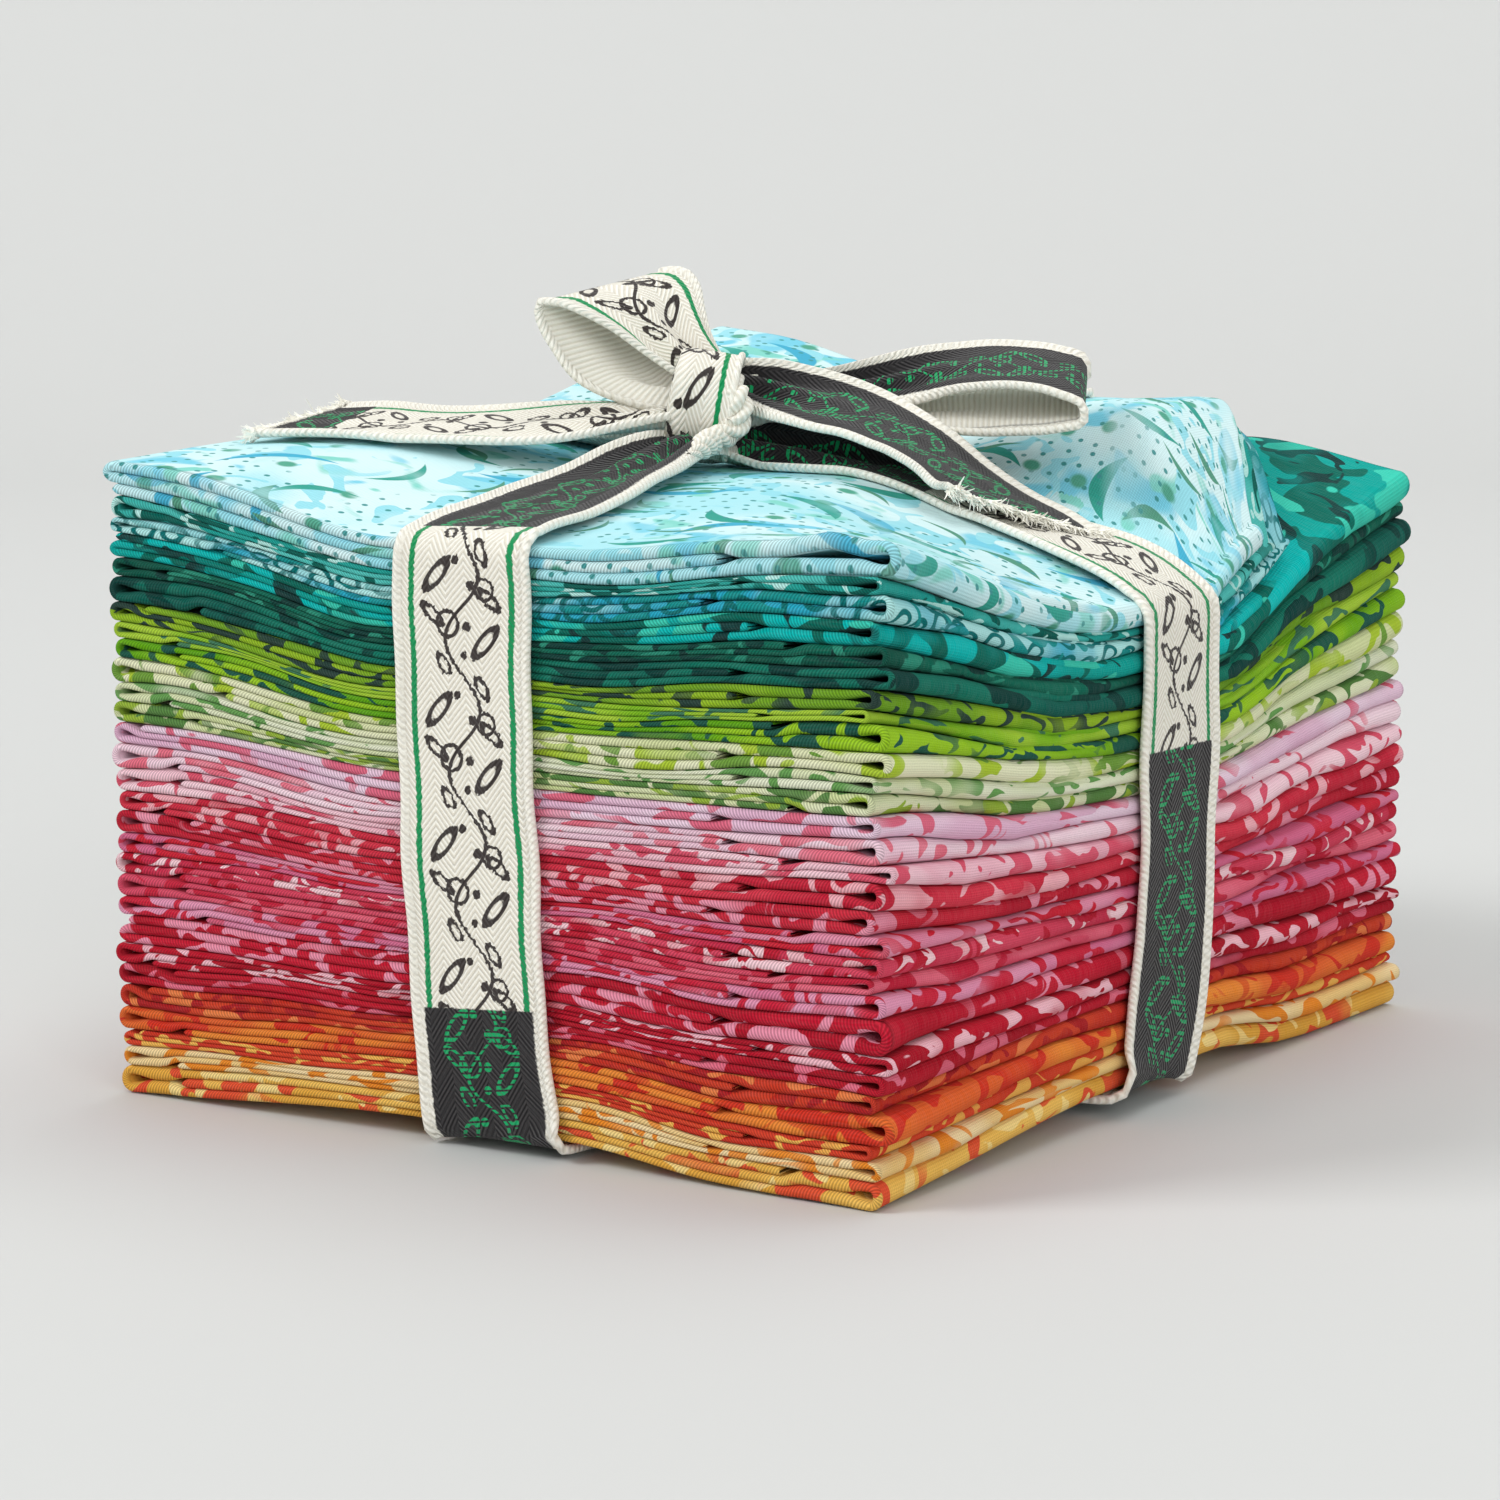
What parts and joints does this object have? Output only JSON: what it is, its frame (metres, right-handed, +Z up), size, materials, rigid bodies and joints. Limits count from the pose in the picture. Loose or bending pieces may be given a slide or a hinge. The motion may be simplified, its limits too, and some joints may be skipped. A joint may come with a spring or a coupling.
{
  "type": "fat quarter bundle",
  "caption": "Stack of folded printed quilting cottons in a run of colours, tied both ways with a soft woven ribbon in a bow.",
  "frame": {"origin": "on the surface that the bundle lies on, under the middle of its outline", "axes": "+Z up, +Y along the stack's long side, +X along its short side"},
  "size_m": [0.152, 0.1838, 0.1367],
  "materials": {
    "fat_quarter_01": "matt woven cotton, dyed and printed",
    "fat_quarter_02": "matt woven cotton, dyed and printed",
    "fat_quarter_03": "matt woven cotton, dyed and printed",
    "fat_quarter_04": "matt woven cotton, dyed and printed",
    "fat_quarter_05": "matt woven cotton, dyed and printed",
    "fat_quarter_06": "matt woven cotton, dyed and printed",
    "fat_quarter_07": "matt woven cotton, dyed and printed",
    "fat_quarter_08": "matt woven cotton, dyed and printed",
    "fat_quarter_09": "matt woven cotton, dyed and printed",
    "fat_quarter_10": "matt woven cotton, dyed and printed",
    "fat_quarter_11": "matt woven cotton, dyed and printed",
    "fat_quarter_12": "matt woven cotton, dyed and printed",
    "fat_quarter_13": "matt woven cotton, dyed and printed",
    "fat_quarter_14": "matt woven cotton, dyed and printed",
    "fat_quarter_15": "matt woven cotton, dyed and printed",
    "fat_quarter_16": "matt woven cotton, dyed and printed",
    "fat_quarter_17": "matt woven cotton, dyed and printed",
    "fat_quarter_18": "matt woven cotton, dyed and printed",
    "fat_quarter_19": "matt woven cotton, dyed and printed",
    "fat_quarter_20": "matt woven cotton, dyed and printed",
    "fat_quarter_21": "matt woven cotton, dyed and printed",
    "fat_quarter_22": "matt woven cotton, dyed and printed",
    "fat_quarter_23": "matt woven cotton, dyed and printed",
    "fat_quarter_24": "matt woven cotton, dyed and printed",
    "fat_quarter_25": "matt woven cotton, dyed and printed",
    "fat_quarter_26": "matt woven cotton, dyed and printed",
    "fat_quarter_27": "matt woven cotton, dyed and printed",
    "fat_quarter_28": "matt woven cotton, dyed and printed",
    "fat_quarter_29": "matt woven cotton, dyed and printed",
    "ribbon": "soft herringbone cotton ribbon, cream with green stripes and charcoal lengths"
  },
  "bodies": {
    "root": {"fat_quarter_01": "fat_quarter_01", "fat_quarter_02": "fat_quarter_02", "fat_quarter_03": "fat_quarter_03", "fat_quarter_04": "fat_quarter_04", "fat_quarter_05": "fat_quarter_05", "fat_quarter_06": "fat_quarter_06", "fat_quarter_07": "fat_quarter_07", "fat_quarter_08": "fat_quarter_08", "fat_quarter_09": "fat_quarter_09", "fat_quarter_10": "fat_quarter_10", "fat_quarter_11": "fat_quarter_11", "fat_quarter_12": "fat_quarter_12", "fat_quarter_13": "fat_quarter_13", "fat_quarter_14": "fat_quarter_14", "fat_quarter_15": "fat_quarter_15", "fat_quarter_16": "fat_quarter_16", "fat_quarter_17": "fat_quarter_17", "fat_quarter_18": "fat_quarter_18", "fat_quarter_19": "fat_quarter_19", "fat_quarter_20": "fat_quarter_20", "fat_quarter_21": "fat_quarter_21", "fat_quarter_22": "fat_quarter_22", "fat_quarter_23": "fat_quarter_23", "fat_quarter_24": "fat_quarter_24", "fat_quarter_25": "fat_quarter_25", "fat_quarter_26": "fat_quarter_26", "fat_quarter_27": "fat_quarter_27", "fat_quarter_28": "fat_quarter_28", "fat_quarter_29": "fat_quarter_29", "ribbon": "ribbon"}
  },
  "joints": []
}
